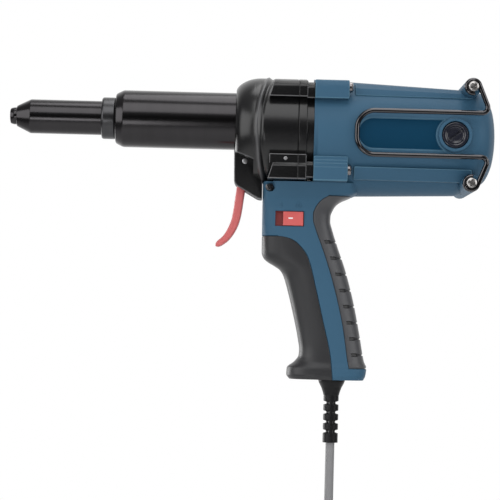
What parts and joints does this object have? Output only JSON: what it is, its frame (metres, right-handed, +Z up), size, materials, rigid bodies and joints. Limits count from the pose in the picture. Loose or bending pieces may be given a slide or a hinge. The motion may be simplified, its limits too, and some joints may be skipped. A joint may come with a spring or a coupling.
{
  "type": "electric rivet gun",
  "caption": "Corded electric blind rivet gun: pistol grip, motor and ball nut that draw a pull rod and jaws back in a long nose; hinged trigger, slide switch, belt hook, mains cord.",
  "frame": {"origin": "middle of the hand grip, on the tool's middle plane", "axes": "nose points to -X, the side with the hook and switch faces -Y, +Z up along the barrel's height"},
  "size_m": [0.3488, 0.0863, 0.5689],
  "materials": {
    "housing_blue": "satin moulded",
    "grip_rubber": "fine matt texture",
    "case_black": "gloss",
    "plate_alloy": "machined",
    "black_steel": "blackened and polished",
    "bush_bronze": "machined",
    "bearing_steel": "ground",
    "core_steel": "stacked sheet",
    "winding_copper": "enamelled",
    "holder_brass": "pressed",
    "carbon": "pressed carbon",
    "spring_steel": "drawn",
    "black_plastic": "satin",
    "relief_rubber": "matt",
    "machined_steel": "turned",
    "switch_dark_red": "gloss",
    "board_green": "lacquered",
    "hook_chrome": "plated",
    "screw_zinc": "zinc plated",
    "trigger_red": "satin",
    "plunger_white": "satin",
    "slider_red": "gloss",
    "cord_grey": "matt"
  },
  "bodies": {
    "tool": {"housing_left": "housing_blue", "housing_right": "housing_blue", "grip_left": "grip_rubber", "grip_right": "grip_rubber", "gear_case_front": "case_black", "gear_case_rear": "case_black", "gear_plate": "plate_alloy", "outer_barrel": "black_steel", "barrel_collar": "black_steel", "front_sleeve": "black_steel", "nosepiece": "black_steel", "guide_bush": "bush_bronze", "bearing_outer_rings": "bearing_steel", "bearing_balls": "bearing_steel", "stator_core": "core_steel", "field_coils": "winding_copper", "brush_holders": "holder_brass", "carbon_brushes": "carbon", "brush_springs": "spring_steel", "brush_caps": "black_plastic", "trigger_pin": "machined_steel", "trigger_switch": "black_plastic", "power_switch": "switch_dark_red", "control_board": "board_green", "cord_clamp": "black_plastic", "strain_relief": "relief_rubber", "belt_hook": "hook_chrome", "hook_screws": "screw_zinc", "case_screws": "screw_zinc", "housing_screws": "screw_zinc", "small_screws": "screw_zinc", "power_cord": "cord_grey", "cord_hank": "cord_grey", "cord_tie": "black_plastic", "mains_plug": "black_plastic", "plug_pins": "machined_steel"},
    "armature": {"armature_shaft": "machined_steel", "armature_core": "core_steel", "armature_winding": "winding_copper", "commutator": "winding_copper", "cooling_fan": "black_plastic", "armature_inner_rings": "bearing_steel"},
    "idler": {"idler_shaft": "machined_steel", "idler_wheel": "machined_steel", "idler_inner_rings": "bearing_steel"},
    "nut": {"drive_nut": "machined_steel", "drive_gear": "machined_steel", "nut_inner_rings": "bearing_steel"},
    "rod": {"lead_screw": "machined_steel", "pull_rod": "machined_steel", "rod_lock_nut": "machined_steel", "jaw_case": "machined_steel", "jaws": "machined_steel", "jaw_pusher": "machined_steel", "jaw_spring": "spring_steel"},
    "trigger_lever": {"trigger": "trigger_red"},
    "plunger": {"trigger_plunger": "plunger_white"},
    "slider": {"switch_slider": "slider_red"}
  },
  "joints": [
    {"name": "motor_spin", "type": "hinge", "parent": "tool", "child": "armature", "pos_m": [0.045, 0, 0.118], "axis": [1, 0, 0], "range_deg": [0, 36000]},
    {"name": "idler_spin", "type": "hinge", "parent": "tool", "child": "idler", "pos_m": [-0.03, 0.01218, 0.10632], "axis": [1, 0, 0], "range_deg": [-9010, 10]},
    {"name": "nut_spin", "type": "hinge", "parent": "tool", "child": "nut", "pos_m": [-0.05, 0, 0.127], "axis": [1, 0, 0], "range_deg": [-10, 1810]},
    {"name": "rod_pull", "type": "slide", "parent": "tool", "child": "rod", "axis": [1, 0, 0], "range_m": [0, 0.02]},
    {"name": "trigger_pull", "type": "hinge", "parent": "tool", "child": "trigger_lever", "pos_m": [-0.0553, 0, 0.0978], "axis": [0, -1, 0], "range_deg": [0, 11.45], "stiffness_Nm_per_rad": 1.2, "springref_deg": -5.73},
    {"name": "plunger_slide", "type": "slide", "parent": "tool", "child": "plunger", "axis": [1, 0, 0], "range_m": [0, 0.0037]},
    {"name": "switch_slide", "type": "slide", "parent": "tool", "child": "slider", "axis": [-1, 0, 0], "range_m": [0, 0.005]}
  ],
  "couplings": [
    {"joint": "idler_spin", "follows": "motor_spin", "ratio": -0.25},
    {"joint": "nut_spin", "follows": "motor_spin", "ratio": 0.05},
    {"joint": "rod_pull", "follows": "motor_spin", "m_per_rad": 0.00003183},
    {"joint": "plunger_slide", "follows": "trigger_pull", "m_per_rad": 0.0185}
  ]
}
